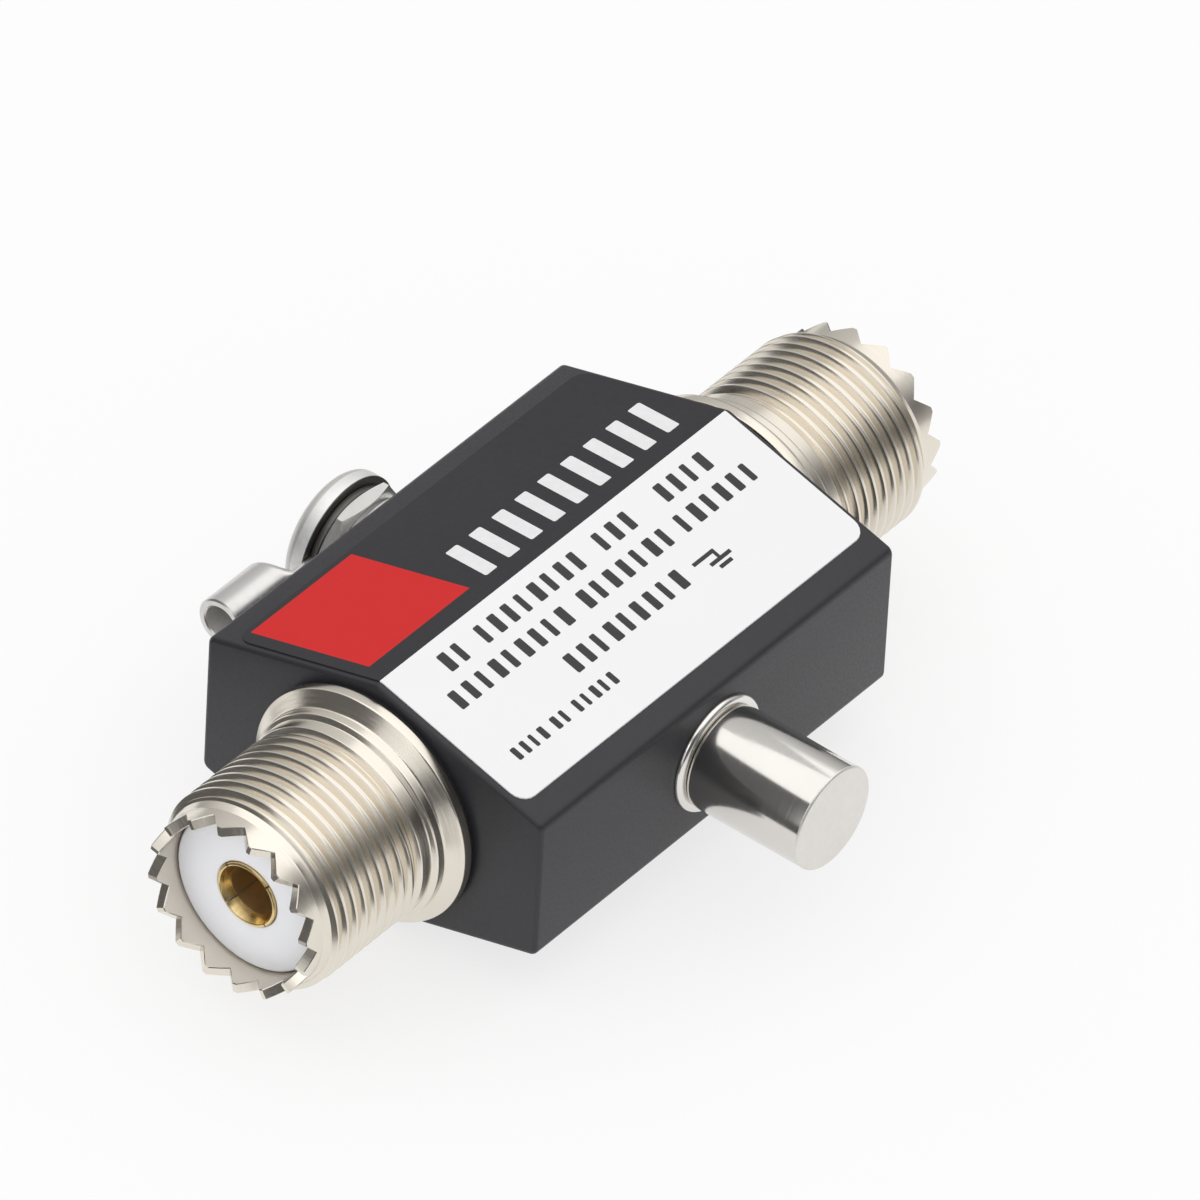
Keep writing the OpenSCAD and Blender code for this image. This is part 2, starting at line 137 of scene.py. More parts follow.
SHELL_BORE_R = 6.35
LIP_T = 2
SOCKET_BORE_R = 2
SOCKET_DEPTH = 9
SOCKET_SINK_W = 0.36
SOCKET_SINK_L = 0.9
SOCKET_SINK_R = 0.08
SOCKET_END_T = 1.2
SLIT_W = 0.12
SLIT_L = 7
SLIT_TURN = math.radians(45)
STEM_R = 1.25
CAP_SEAT = -CAP_WASHER[0].y
CAP_NECK_R = 3.5
CAP_THREAD_DEPTH = 0.4
CAP_THREAD_TURNS = 11
CAP_THREAD_LEAD = 0.4
CAP_THREAD_END = 13.85
CAP_BORE_R = 2.6
CAP_BORE_END = 12
CAP_EDGE_R = 0.2
CAP_BASE_R = 0.35
CAP_WASHER_GAP = 0.1
CAP_WASHER_BEVEL = 0.4
SCREW_R = 2.5
SCREW_THREAD_DEPTH = 0.45
SCREW_THREAD_TURNS = 12
SCREW_RUNOUT = 0.3
SCREW_TIP_BEVEL = 0.7
HEAD_RIM_T = 1
HEAD_BASE_R = 0.1
HEAD_TOP_R = 3
RECESS_L = 4.2
RECESS_W = 1
RECESS_DEPTH = 1.3
WASHER_BORE_R = 2.6
LOCK_SLIT_W = 0.6
NUT_BORE_R = 2.55
NUT_FACE_INSET = 0.05
LUG_RING_R = 4.6
LUG_T = 0.6
TONGUE_HALF_W = 1.6
TONGUE_START = 0.3
TONGUE_INSET = 0.02
BARREL_R = 1.95
BARREL_WALL = 0.6
BARREL_L = 5.2
FLARE_L = 1.2
BARREL_RISE = 1.5

# Fillets of turned edges, in millimetres
THIN_R = 0.06
FINE_R = 0.1
LIP_R = 0.12
SMALL_R = 0.15
SOFT_R = 0.2
EASED_R = 0.25
WIDE_R = 0.3

slope = RIDGE_RISE / BLOCK.y
slope_angle = math.atan(slope)
ridge_z = WALL_HALF_H + RIDGE_RISE
edge_ridge_z = ridge_z - EDGE_R / math.cos(slope_angle)
edge_wall_y = BLOCK.y - EDGE_R
edge_wall_z = edge_ridge_z - slope * edge_wall_y


# Places of the turned parts: local Z runs outwards along the part's own axis
def port_place(side):
    """Frame of a port, with its origin on the block's end face. Side is -1 for port A and 1 for port B."""
    return Matrix(((0, 0, side, side * BLOCK.x), (0, side, 0, 0), (-1, 0, 0, 0), (0, 0, 0, 1)))


WORLD_PLACE = Matrix.Identity(4)
CAP_PLACE = Matrix(((1, 0, 0, 0), (0, 0, -1, 0), (0, 1, 0, 0), (0, 0, 0, 1)))
GROUND_PLACE = Matrix(((1, 0, 0, 0), (0, 0, 1, 0), (0, -1, 0, 0), (0, 0, 0, 1)))


# Mesh helpers
SHARP = math.radians(32)
WELD = 2e-7
FILLET_STEPS = 5
THREAD_STEPS = 10
ROOT_SHARE = 0.1
FLANK_SHARE = 0.75
TURN_COLUMNS = 96
INSULATOR_COLUMNS = 128
SOCKET_COLUMNS = 64
LEAF_COLUMNS = 20
LOCK_COLUMNS = 90
SCREW_COLUMNS = 80
LUG_COLUMNS = 48
# A face counts as part of a bore up to this many times its radius
BORE_REACH = 1.01


def even_angles(columns):
    """Angles of a full turn, with the first repeated at the end."""
    return np.linspace(0, 2 * math.pi, columns + 1)


def quarter_turn(steps):
    """Angles of a quarter turn, with both ends."""
    return [math.pi / 2 * step / steps for step in range(steps + 1)]


def eased(share):
    """A share from 0 to 1 that starts and ends slowly."""
    return share * share * (3 - 2 * share)


def rounded(corners, closed):
    """Points of an outline whose corners are (u, v, fillet radius), with each fillet drawn as an arc."""
    points = []
    count = len(corners)
    for index, (u, v, radius) in enumerate(corners):
        here = Vector((u, v))
        inner = closed or 0 < index < count - 1
        if radius == 0 or not inner:
            points.append(here)
            continue
        to_last = (Vector(corners[index - 1][:2]) - here).normalized()
        to_next = (Vector(corners[(index + 1) % count][:2]) - here).normalized()
        half = to_last.angle(to_next) / 2
        reach = radius / math.tan(half)
        center = here + (to_last + to_next).normalized() * radius / math.sin(half)
        start = here + to_last * reach - center
        end = here + to_next * reach - center
        for step in range(FILLET_STEPS + 1):
            points.append(center + start.slerp(end, step / FILLET_STEPS) * radius)
    if closed:
        points.append(points[0])
    return points


def circle_row(angles, radius, height):
    """Points round Z. Radius and height are numbers, or one value for each angle."""
    ones = np.ones_like(angles)
    return np.stack([radius * np.cos(angles), radius * np.sin(angles), height * ones], 1)


def turned_rows(angles, corners, closed=False):
    """Rows of a profile of (radius, height, fillet) corners, turned about Z."""
    return [circle_row(angles, u, v) for u, v in rounded(corners, closed)]


def thread_shape(phase):
    """Height of a thread from 0 at its root to 1 at its crest, with both rounded."""
    rise = 1 - np.abs(2 * phase - 1)
    return eased(np.clip((rise - ROOT_SHARE) / FLANK_SHARE, 0, 1))


def thread_rows(angles, root, crest, start, end, turns):
    """Rows that follow a helix. The thread grows out of the root in its first turn and sinks in its last."""
    pitch = (end - start) / turns
    share = angles / (2 * math.pi)
    last = THREAD_STEPS * (turns + 1)
    rows = []
    for row in range(last + 1):
        rise = thread_shape(row % THREAD_STEPS / THREAD_STEPS) * (crest - root)
        steps_in = row / THREAD_STEPS
        if row <= THREAD_STEPS:
            height = start + pitch * share * steps_in
            radius = root + rise * share
        elif row >= last - THREAD_STEPS:
            height = end - pitch * (1 - share) * (last - row) / THREAD_STEPS
            radius = root + rise * (1 - share)
        else:
            height = start + pitch * (share + steps_in - 1)
            radius = root + rise
        rows.append(circle_row(angles, radius, height))
    return rows


def skin(rows):
    """Points and quads of a surface through rows that have the same number of columns."""
    columns = len(rows[0])
    quads = []
    for row in range(len(rows) - 1):
        for column in range(columns - 1):
            corner = row * columns + column
            quads.append((corner, corner + 1, corner + columns + 1, corner + columns))
    return np.concatenate(rows), quads


def capped_skin(rows):
    """A skin through closed rows, with a face on the first row and one on the last."""
    points, quads = skin(rows)
    columns = len(rows[0])
    first = list(range(columns - 1))
    last = [len(points) - columns + index for index in first]
    return points, quads + [first, last]


def sector(profile, start, end, columns):
    """A part of a turn of a closed profile, with flat ends."""
    angles = np.linspace(start, end, columns + 1)
    points, quads = skin([circle_row(angles, u, v) for u, v in profile])
    ring = len(profile) - 1
    first = [row * (columns + 1) for row in range(ring)]
    last = [row * (columns + 1) + columns for row in range(ring)]
    return points, quads + [first, last]


def make_mesh(name, surfaces, place):
    """One mesh from surfaces of (points, faces), in a local frame in millimetres. Each is welded alone."""
    whole = bmesh.new()
    for points, faces in surfaces:
        piece = bmesh.new()
        verts = [piece.verts.new((place @ Vector(point)) * MM) for point in points]
        for face in faces:
            piece.faces.new([verts[index] for index in face])
        bmesh.ops.remove_doubles(piece, verts=piece.verts, dist=WELD)
        bmesh.ops.recalc_face_normals(piece, faces=piece.faces)
        scratch = bpy.data.meshes.new("scratch")
        piece.to_mesh(scratch)
        piece.free()
        whole.from_mesh(scratch)
        bpy.data.meshes.remove(scratch)
    mesh = bpy.data.meshes.new(name)
    whole.to_mesh(mesh)
    whole.free()
    return mesh


def add_piece(name, mesh, materials, body, replaced=()):
    """Puts a mesh in the scene as a smooth piece that rides a body and stands for CAD nodes."""
    mesh.shade_smooth()
    mesh.set_sharp_from_angle(angle=SHARP)
    for material in materials:
        mesh.materials.append(material)
    piece = bpy.data.objects.new(name, mesh)
    scene.collection.objects.link(piece)
    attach(piece, body)
    if replaced:
        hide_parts(*replaced)


def cut_mesh(mesh, cutters):
    """The mesh with each cutter mesh taken out of it."""
    target = bpy.data.objects.new("target", mesh)
    scene.collection.objects.link(target)
    tools = []
    for cutter in cutters:
        tool = bpy.data.objects.new("tool", cutter)
        scene.collection.objects.link(tool)
        tools.append(tool)
        modifier = target.modifiers.new("cut", "BOOLEAN")
        modifier.operation = "DIFFERENCE"
        modifier.solver = "EXACT"
        modifier.object = tool
    graph = bpy.context.evaluated_depsgraph_get()
    result = bpy.data.meshes.new_from_object(target.evaluated_get(graph))
    for made in [target, *tools]:
        bpy.data.objects.remove(made)
    return result


# Material helpers
NOISE_LOW = 0.3
NOISE_HIGH = 0.7
# Sockets of a Mix node that is set to colours
MIX_FIRST = 6
MIX_SECOND = 7
MIX_RESULT = 2


def new_material(name, metallic=0.0, ior=1.5):
    """A material with a Principled shader. Returns the material, its node tree and the shader."""
    material = bpy.data.materials.new(name)
    material.use_nodes = True
    tree = material.node_tree
    shader = tree.nodes["Principled BSDF"]
    shader.inputs["Metallic"].default_value = metallic
    shader.inputs["IOR"].default_value = ior
    return material, tree, shader


def object_axes(tree):
    """A node with the frame's own X, Y and Z, in metres."""
    place = tree.nodes.new("ShaderNodeTexCoord")
    axes = tree.nodes.new("ShaderNodeSeparateXYZ")
    tree.links.new(place.outputs["Object"], axes.inputs["Vector"])
    return axes


def noise(tree, scale, detail, stretch=(1, 1, 1)):
    """A noise value in the frame's own coordinates. Scale is in features for each metre."""
    place = tree.nodes.new("ShaderNodeTexCoord")
    mapping = tree.nodes.new("ShaderNodeMapping")
    mapping.inputs["Scale"].default_value = stretch
    texture = tree.nodes.new("ShaderNodeTexNoise")
    texture.inputs["Scale"].default_value = scale
    texture.inputs["Detail"].default_value = detail
    tree.links.new(place.outputs["Object"], mapping.inputs["Vector"])
    tree.links.new(mapping.outputs["Vector"], texture.inputs["Vector"])
    return texture.outputs["Fac"]


def spread(tree, value, low, high):
    """Turns a noise value into a number between two ends."""
    node = tree.nodes.new("ShaderNodeMapRange")
    node.inputs["From Min"].default_value = NOISE_LOW
    node.inputs["From Max"].default_value = NOISE_HIGH
    node.inputs["To Min"].default_value = low
    node.inputs["To Max"].default_value = high
    tree.links.new(value, node.inputs["Value"])
    return node.outputs["Result"]


def calculate(tree, operation, first, second, clamp=False):
    """The result of a math node. Each of its two inputs is a socket or a number."""
    node = tree.nodes.new("ShaderNodeMath")
    node.operation = operation
    node.use_clamp = clamp
    for socket, value in zip(node.inputs, (first, second)):
        if isinstance(value, (int, float)):
            socket.default_value = value
        else:
            tree.links.new(value, socket)
    return node.outputs[0]


def between(tree, value, low, high):
    """1 where a coordinate in metres lies between two places in millimetres, and 0 elsewhere."""
    above = calculate(tree, "GREATER_THAN", value, low * MM)
    below = calculate(tree, "LESS_THAN", value, high * MM)
    return calculate(tree, "MULTIPLY", above, below)


def mix_colour(tree, share, first, second):
    """A colour between two, each a socket or three numbers. Share is a socket."""
    node = tree.nodes.new("ShaderNodeMix")
    node.data_type = "RGBA"
    tree.links.new(share, node.inputs["Factor"])
    for index, colour in ((MIX_FIRST, first), (MIX_SECOND, second)):
        if isinstance(colour, tuple):
            node.inputs[index].default_value = (*colour, 1)
        else:
            tree.links.new(colour, node.inputs[index])
    return node.outputs[MIX_RESULT]


def shade(colour, factor):
    """A lighter or darker tone of a colour."""
    return tuple(min(1.0, part * factor) for part in colour)


def mottled(tree, share, colour, darkest, lightest):
    """A colour that wanders between a darker and a lighter tone of its own."""
    return mix_colour(tree, share, shade(colour, darkest), shade(colour, lightest))


def dress(tree, shader, tone, grain, rough, depth_mm=None):
    """Gives a shader its colour, a roughness that follows the grain and, with a depth, a raised grain."""
    tree.links.new(tone, shader.inputs["Base Color"])
    tree.links.new(spread(tree, grain, *rough), shader.inputs["Roughness"])
    if depth_mm is None:
        return
    bump = tree.nodes.new("ShaderNodeBump")
    bump.inputs["Strength"].default_value = 1
    bump.inputs["Distance"].default_value = depth_mm * MM
    tree.links.new(grain, bump.inputs["Height"])
    tree.links.new(bump.outputs["Normal"], shader.inputs["Normal"])


# Colours
PAINT = (0.0265, 0.026, 0.031)
PANEL_BLACK = (0.031, 0.0295, 0.033)
PANEL_RED = (0.66, 0.010, 0.010)
PANEL_WHITE = (0.91, 0.90, 0.90)
INK_BLACK = (0.018, 0.017, 0.019)
INK_WHITE = (0.85, 0.845, 0.85)
NICKEL = (0.80, 0.745, 0.655)
CAP_NICKEL = (0.73, 0.705, 0.67)
# Painted highlight: a lighter copy of the cap's nickel for its satin end face
CAP_END_NICKEL_PAINTED_HIGHLIGHT = (0.80, 0.775, 0.735)
PTFE = (0.93, 0.94, 0.98)
GOLD = (0.84, 0.65, 0.33)
# Painted light: a lighter copy of the gold plating for inside the socket's bore, which would otherwise
# render dark
GOLD_BORE_PAINTED_LIGHT = (0.97, 0.76, 0.46)
ZINC = (0.92, 0.91, 0.885)
# Painted highlight: a lighter copy of the zinc plating for the screw head's rim
ZINC_RIM_PAINTED_HIGHLIGHT = (0.98, 0.975, 0.95)
# Painted shade: a darker copy of the zinc plating for the screw head's dome
ZINC_DOME_PAINTED_SHADE = (0.74, 0.73, 0.705)
# Painted shade: a near-black copy of the zinc plating for the gap under the screw head and on the lug's ring
ZINC_PAINTED_SHADE = (0.16, 0.155, 0.145)
ZINC_SMOOTH = (0.80, 0.78, 0.745)
SPRING_STEEL = (0.30, 0.295, 0.29)
TIN = (0.72, 0.71, 0.69)
TIN_DULL = (0.62, 0.61, 0.58)
CERAMIC = (0.84, 0.82, 0.77)
RUBBER_DARK = (0.010, 0.010, 0.011)
RUBBER_LIGHT = (0.020, 0.020, 0.021)

# Fields of the label, in millimetres along X and Y
RED_X = (-18.0, -6.95)
RED_Y = (1.95, 12.45)
WHITE_EDGE = 0.1

METAL_CLOUDS = 0.06
TURNING_STRETCH = 0.04
SUBSURFACE_MM = 0.5


# Materials
def paint_material():
    """Satin black paint with a fine even grain."""
    material, tree, shader = new_material("black_paint")
    shader.inputs["Specular IOR Level"].default_value = 0.42
    grain = noise(tree, scale=4200, detail=2)
    cloud = noise(tree, scale=90, detail=3)
    tone = mottled(tree, cloud, PAINT, darkest=0.88, lightest=1.12)
    dress(tree, shader, tone, grain, rough=(0.34, 0.46), depth_mm=0.006)
    return material


def vinyl_material():
    """Printed vinyl: a white front panel, a black back panel and one red field."""
    material, tree, shader = new_material("label_vinyl", ior=1.4)
    shader.inputs["Specular IOR Level"].default_value = 0.3
    axes = object_axes(tree)
    fibre = noise(tree, scale=1800, detail=3)
    cloud = noise(tree, scale=130, detail=2)
    white = mottled(tree, cloud, PANEL_WHITE, darkest=0.985, lightest=1.01)
    black = mottled(tree, cloud, PANEL_BLACK, darkest=0.9, lightest=1.1)
    red = mottled(tree, fibre, PANEL_RED, darkest=0.93, lightest=1.05)
    in_front = between(tree, axes.outputs["Y"], -BLOCK.y, WHITE_EDGE)
    in_red_x = between(tree, axes.outputs["X"], *RED_X)
    in_red_y = between(tree, axes.outputs["Y"], *RED_Y)
    in_red = calculate(tree, "MULTIPLY", in_red_x, in_red_y)
    back = mix_colour(tree, in_red, black, red)
    tone = mix_colour(tree, in_front, back, white)
    dress(tree, shader, tone, fibre, rough=(0.36, 0.46), depth_mm=0.003)
    return material


def ink_material(name, colour):
    """A printed mark, a little glossier than the vinyl."""
    material, tree, shader = new_material(name)
    fibre = noise(tree, scale=1800, detail=3)
    tone = mottled(tree, fibre, colour, darkest=0.92, lightest=1.06)
    dress(tree, shader, tone, fibre, rough=(0.3, 0.4))
    return material


def metal_material(name, colour, rough, axis=None, mark_mm=0.0004):
    """Plated metal. Where an axis is given, fine turning marks run round it."""
    material, tree, shader = new_material(name, metallic=1.0)
    cloud = noise(tree, scale=160, detail=3)
    tone = mottled(tree, cloud, colour, darkest=1 - METAL_CLOUDS, lightest=1 + METAL_CLOUDS)
    if axis is None:
        marks = noise(tree, scale=2600, detail=2)
    else:
        stretch = tuple(1 if letter == axis else TURNING_STRETCH for letter in "XYZ")
        marks = noise(tree, scale=9000, detail=2, stretch=stretch)
    dress(tree, shader, tone, marks, rough, mark_mm)
    return material


def plastic_material(name, colour, rough, grain_mm=0.003, glow=0.0):
    """A smooth white plastic or ceramic. Glow is how much light spreads below the surface."""
    material, tree, shader = new_material(name, ior=1.4)
    cloud = noise(tree, scale=240, detail=3)
    grain = noise(tree, scale=3000, detail=2)
    tone = mottled(tree, cloud, colour, darkest=0.97, lightest=1.02)
    dress(tree, shader, tone, grain, rough, grain_mm)
    reach = SUBSURFACE_MM * MM
    shader.inputs["Subsurface Weight"].default_value = glow
    shader.inputs["Subsurface Radius"].default_value = (reach, reach, reach)
    shader.inputs["Subsurface Scale"].default_value = 1
    return material


def rubber_material():
    """Matt black rubber."""
    material, tree, shader = new_material("gasket_rubber")
    grain = noise(tree, scale=3500, detail=3)
    tone = mix_colour(tree, grain, RUBBER_DARK, RUBBER_LIGHT)
    dress(tree, shader, tone, grain, rough=(0.6, 0.8), depth_mm=0.01)
    return material


paint = paint_material()
vinyl = vinyl_material()
black_ink = ink_material("black_ink", INK_BLACK)
white_ink = ink_material("white_ink", INK_WHITE)
nickel = metal_material("nickel_plate", NICKEL, rough=(0.19, 0.27), mark_mm=0.0005, axis="X")
cap_nickel = metal_material("satin_nickel", CAP_NICKEL, rough=(0.10, 0.17), mark_mm=0.0008, axis="Y")
cap_end_nickel_painted_highlight = metal_material("satin_nickel_end_painted_highlight", CAP_END_NICKEL_PAINTED_HIGHLIGHT, rough=(0.38, 0.5), mark_mm=0.002)
insulator_white = plastic_material("white_insulator", PTFE, rough=(0.3, 0.42), grain_mm=0.002, glow=0.25)
gold = metal_material("gold_plate", GOLD, rough=(0.16, 0.26), mark_mm=0.0012, axis="X")
gold_bore_painted_light = metal_material("gold_plate_bore_painted_light", GOLD_BORE_PAINTED_LIGHT, rough=(0.4, 0.5), mark_mm=0.0005, axis="X")
zinc = metal_material("zinc_plate", ZINC, rough=(0.3, 0.4))
zinc_rim_painted_highlight = metal_material("zinc_plate_satin_painted_highlight", ZINC_RIM_PAINTED_HIGHLIGHT, rough=(0.5, 0.6))
zinc_dome_painted_shade = metal_material("zinc_plate_dome_painted_shade", ZINC_DOME_PAINTED_SHADE, rough=(0.5, 0.6))
zinc_painted_shade = metal_material("zinc_plate_painted_shade", ZINC_PAINTED_SHADE, rough=(0.4, 0.5))
zinc_smooth = metal_material("zinc_plate_smooth", ZINC_SMOOTH, rough=(0.16, 0.22), axis="Y")
steel = metal_material("spring_steel", SPRING_STEEL, rough=(0.28, 0.4), mark_mm=0.0012)
tin = metal_material("tin_plate", TIN, rough=(0.3, 0.38), mark_mm=0.0006)
tin_dull = plastic_material("tin_plate_dull", TIN_DULL, rough=(0.5, 0.6))
ceramic_white = plastic_material("ceramic", CERAMIC, rough=(0.15, 0.25))
rubber = rubber_material()


# The block
CUTTER_REACH = 1


def block_section(radius):
    """Outline of the block's section in Y and Z, with its rounded edges at a given radius."""
    lean = slope_angle
    corners = [
        (0, 1, math.pi / 2 - lean, math.pi / 2 + lean),
        (-1, 1, math.pi / 2 + lean, math.pi),
        (-1, -1, math.pi, 1.5 * math.pi - lean),
        (0, -1, 1.5 * math.pi - lean, 1.5 * math.pi + lean),
        (1, -1, 1.5 * math.pi + lean, 2 * math.pi),
        (1, 1, 2 * math.pi, 2.5 * math.pi - lean),
    ]
    points = []
    for side, up, start, end in corners:
        height = up * (edge_wall_z if side else edge_ridge_z)
        for step in range(FILLET_STEPS + 1):
            angle = start + (end - start) * step / FILLET_STEPS
            points.append((side * edge_wall_y + radius * math.cos(angle), height + radius * math.sin(angle)))
    points.append(points[0])
    return points


def block_row(x, radius):
    """The block's section at one place along X."""
    return np.array([(x, y, z) for y, z in block_section(radius)])


def bore_cutter(place, profile):
    """A turned cutter whose profile starts and ends on the axis."""
    return make_mesh("cutter", [skin(turned_rows(even_angles(TURN_COLUMNS), profile))], place)


def plain_hole(radius, start):
    """Profile of a round hole for a part of a given radius, from its foot out through the block's side."""
    hole_r = radius + SPIGOT_GAP
    outside = BLOCK.y + CUTTER_REACH
    return [(0, start, 0), (hole_r, start, 0), (hole_r, outside, 0), (0, outside, 0)]


def make_block():
    """The painted block with its rounded edges, bevelled ends and bores."""
    stations = []
    for angle in quarter_turn(FILLET_STEPS):
        inset = END_BEVEL * (1 - math.sin(angle))
        stations.append((BLOCK.x - END_BEVEL * (1 - math.cos(angle)), EDGE_R - inset))
    half = [block_row(x, radius) for x, radius in stations]
    rows = [row * np.array([-1, 1, 1]) for row in half] + half[::-1]
    mesh = make_mesh("block", [capped_skin(rows)], WORLD_PLACE)
    counterbore = SHELL[0].x - BLOCK.x
    hole_r = SPIGOT_R + SPIGOT_GAP
    cutters = []
    for side in (-1, 1):
        port_hole = [(0, -BLOCK.x, 0), (LINE_BORE_R, -BLOCK.x, 0), (LINE_BORE_R, counterbore, 0)]
        port_hole += [(hole_r, counterbore, 0), (hole_r, CUTTER_REACH, 0), (0, CUTTER_REACH, 0)]
        cutters.append(bore_cutter(port_place(side), port_hole))
    cutters.append(bore_cutter(CAP_PLACE, plain_hole(CAP_NECK_R, 0)))
    cutters.append(bore_cutter(GROUND_PLACE, plain_hole(SCREW_R, SCREW[0].y - SCREW_TIP_BEVEL)))
    add_piece("painted_block", cut_mesh(mesh, cutters), [paint], "housing", ["body"])


make_block()


# The label and its print
LABEL_LIFT = 0.004
PRINT_T = 0.012


def top_z(y):
    """Height of the block's top at a distance from the ridge."""
    if abs(y) < EDGE_R * math.sin(slope_angle):
        return edge_ridge_z + math.sqrt(EDGE_R ** 2 - y ** 2)
    return ridge_z - slope * abs(y)


def make_label():
    """One vinyl sheet folded over the ridge, with rounded corners."""
    half_l = LABEL.x
    half_w = LABEL.y
    ends = []
    for angle in quarter_turn(FILLET_STEPS):
        inset_l = LABEL_CORNER_R * (1 - math.cos(angle))
        inset_w = LABEL_CORNER_R * (1 - math.sin(angle))
        ends.append((half_l - inset_l, half_w - inset_w))
    stations = [(-x, w) for x, w in ends] + [(0, half_w)] + ends[::-1]
    fold = EDGE_R * math.sin(slope_angle)
    inner = [fold * step / FILLET_STEPS for step in range(-FILLET_STEPS, FILLET_STEPS + 1)]
    rows = []
    for x, width in stations:
        across = [-width] + inner + [width]
        over = [(x, y, top_z(y) + LABEL_T) for y in across]
        under = [(x, y, top_z(y) + LABEL_LIFT) for y in across]
        rows.append(np.array(over + under[::-1] + over[:1]))
    mesh = make_mesh("label_sheet", [capped_skin(rows)], WORLD_PLACE)
    add_piece("label_sheet", mesh, [vinyl], "housing", ["label"])


def printed(outline):
    """A thin closed pad on one slope of the label, from its (x, y) outline."""
    count = len(outline)
    low = [(x, y, top_z(y) + LABEL_T) for x, y in outline]
    high = [(x, y, z + PRINT_T) for x, y, z in low]
    sides = [(i, (i + 1) % count, (i + 1) % count + count, i + count) for i in range(count)]
    return low + high, sides + [list(range(count)), list(range(count, 2 * count))]


def printed_bar(x0, x1, y0, y1, radius, lean=0.0):
    """A printed bar with rounded corners. Lean shifts its far edge along X."""
    corners = [(x0, y0, radius), (x1, y0, radius), (x1 + lean, y1, radius), (x0 + lean, y1, radius)]
    return printed([(u, v) for u, v in rounded(corners, True)[:-1]])


# Rows of filler marks: the row's two edges in Y, its scale, then each word's start in X and number of marks
PRINT_ROWS = [
    (-2.6, -1.05, 1, ((-14.4, 2), (-10.4, 8), (2.6, 3), (9.5, 4))),
    (-5.15, -3.6, 1, ((-16.3, 9), (-2.2, 7), (8.6, 6))),
    (-8.15, -6.55, 1, ((-7.2, 9),)),
    (-10.4, -9.35, 0.66, ((-16.4, 4), (-12.1, 2), (-9.7, 5))),
]
MARK_PITCH = 1.46
MARK_WIDTHS = (0.68, 0.54, 0.8, 0.6, 0.74)
MARK_CORNER_R = 0.12

# The earth symbol: its stem's right edge, its lead and each bar's lower edge and half length
EARTH_X = 8.9
EARTH_LEAD = 2.3
EARTH_TOP = -7.05
EARTH_BARS = ((-8.1, 1.1), (-8.62, 0.65))
EARTH_LINE = 0.3
EARTH_CORNER_R = 0.05
EARTH_STEM_CORNER_R = 0.02

# The row of white bars on the back panel
BAND = (-5.2, 17.6)
BAND_EDGES = (1.9, 6.4)
BAND_BARS = 9
BAND_FILL = 0.5
BAND_LEAN = 1.1
BAND_CORNER_R = 0.15


def filler_marks():
    """Bars in rows, in place of the text."""
    marks = []
    for y0, y1, scale, words in PRINT_ROWS:
        for start, count in words:
            for index in range(count):
                x = start + index * MARK_PITCH * scale
                width = MARK_WIDTHS[(index + count) % len(MARK_WIDTHS)] * scale
                marks.append(printed_bar(x, x + width, y0, y1, MARK_CORNER_R))
    return marks


def earth_marks():
    """A lead that turns down into a stem, with bars below it."""
    lead_x = EARTH_X - EARTH_LEAD
    stem_x = EARTH_X - EARTH_LINE
    stem_top = EARTH_TOP - EARTH_LINE
    stem_end = EARTH_BARS[0][0] + EARTH_LINE
    marks = [
        printed_bar(lead_x, EARTH_X, stem_top, EARTH_TOP, EARTH_CORNER_R),
        printed_bar(stem_x, EARTH_X, stem_end, stem_top, EARTH_STEM_CORNER_R),
    ]
    middle = EARTH_X - EARTH_LINE / 2
    for y, half in EARTH_BARS:
        marks.append(printed_bar(middle - half, middle + half, y, y + EARTH_LINE, EARTH_CORNER_R))
    return marks


def make_print():
    """Plain filler marks in place of the print, an earth symbol and a row of bars on the back panel."""
    mesh = make_mesh("print_marks", filler_marks() + earth_marks(), WORLD_PLACE)
    add_piece("print_marks", mesh, [black_ink], "housing")
    pitch = (BAND[1] - BAND[0]) / BAND_BARS
    bars = []
    for index in range(BAND_BARS):
        x = BAND[0] + index * pitch
        bars.append(printed_bar(x, x + pitch * BAND_FILL, *BAND_EDGES, BAND_CORNER_R, lean=BAND_LEAN))
    mesh = make_mesh("print_band", bars, WORLD_PLACE)
    add_piece("print_band", mesh, [white_ink], "housing")


make_label()
make_print()


# The ports
TOOTH_STEPS = (0, 0.11, 0.22, 0.33, 0.44, 0.56, 0.67, 0.78, 0.89)
TIP_START = 0.44
TIP_BEVEL = 0.06
SOCKET_LEAVES = 4


def tooth_angles():
    """Angles round the rim, with columns at each notch's foot and at both edges of each tip."""
    pitch = 2 * math.pi / TOOTH_COUNT
    angles = [pitch * (tooth + share) for tooth in range(TOOTH_COUNT) for share in TOOTH_STEPS]
    return np.array(angles + [2 * math.pi])


def tooth_rise(angles):
    """Height of the teeth above the notches' feet at each angle."""
    share = (angles * TOOTH_COUNT / (2 * math.pi)) % 1
    return TOOTH_H * np.minimum(np.minimum(share, 1 - share) / TIP_START, 1)


